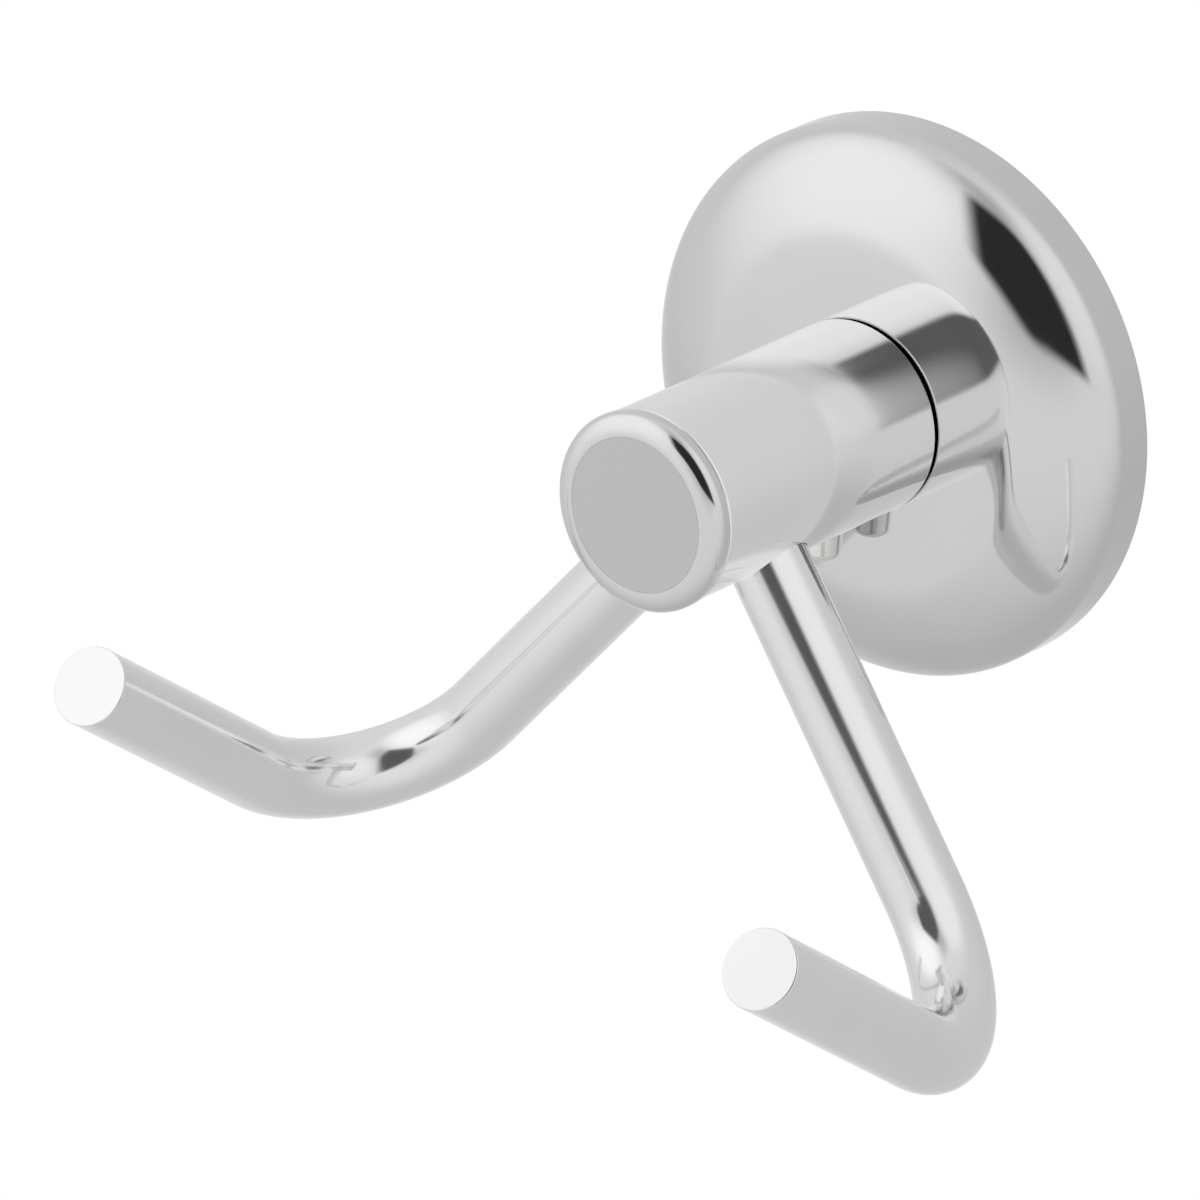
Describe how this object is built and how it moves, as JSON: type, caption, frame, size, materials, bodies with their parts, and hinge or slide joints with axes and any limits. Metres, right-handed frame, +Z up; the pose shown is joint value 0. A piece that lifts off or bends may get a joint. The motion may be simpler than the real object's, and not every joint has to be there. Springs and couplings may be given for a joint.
{
  "type": "double robe hook",
  "caption": "Wall-mounted double robe hook: a domed round cover, a short barrel held on a post by a set screw, and two bent rod arms splayed down and turned up.",
  "frame": {"origin": "centre of the round back, on the wall's surface", "axes": "+Y points into the wall, so the hook reaches out along -Y; +Z is up and +X is to the right for someone facing the hook"},
  "size_m": [0.0904, 0.0768, 0.0754],
  "materials": {
    "polished_chrome": "polished",
    "bright_steel": "plated",
    "turned_brass": "turned",
    "black_nylon": "moulded",
    "satin_grey": "satin"
  },
  "bodies": {
    "wall_side": {"wall_plate": "bright_steel", "wall_post": "turned_brass", "flange_cover": "polished_chrome"},
    "washer": {"seat_washer": "black_nylon"},
    "hook_head": {"barrel_body": "polished_chrome", "left_arm": "polished_chrome", "right_arm": "polished_chrome", "left_arm_lock_screw": "bright_steel", "right_arm_lock_screw": "bright_steel", "end_cap": "polished_chrome", "face_disc": "satin_grey"},
    "grub_screw": {"set_screw": "bright_steel"}
  },
  "joints": [
    {"name": "head_slide", "type": "slide", "parent": "wall_side", "child": "washer", "axis": [0, -1, 0], "range_m": [0, 0.012]},
    {"name": "head_swivel", "type": "hinge", "parent": "washer", "child": "hook_head", "pos_m": [0, -0.0099, 0], "axis": [0, -1, 0], "continuous": true},
    {"name": "set_screw_travel", "type": "slide", "parent": "hook_head", "child": "grub_screw", "axis": [0, 0, -1], "range_m": [0, 0.0024]}
  ]
}
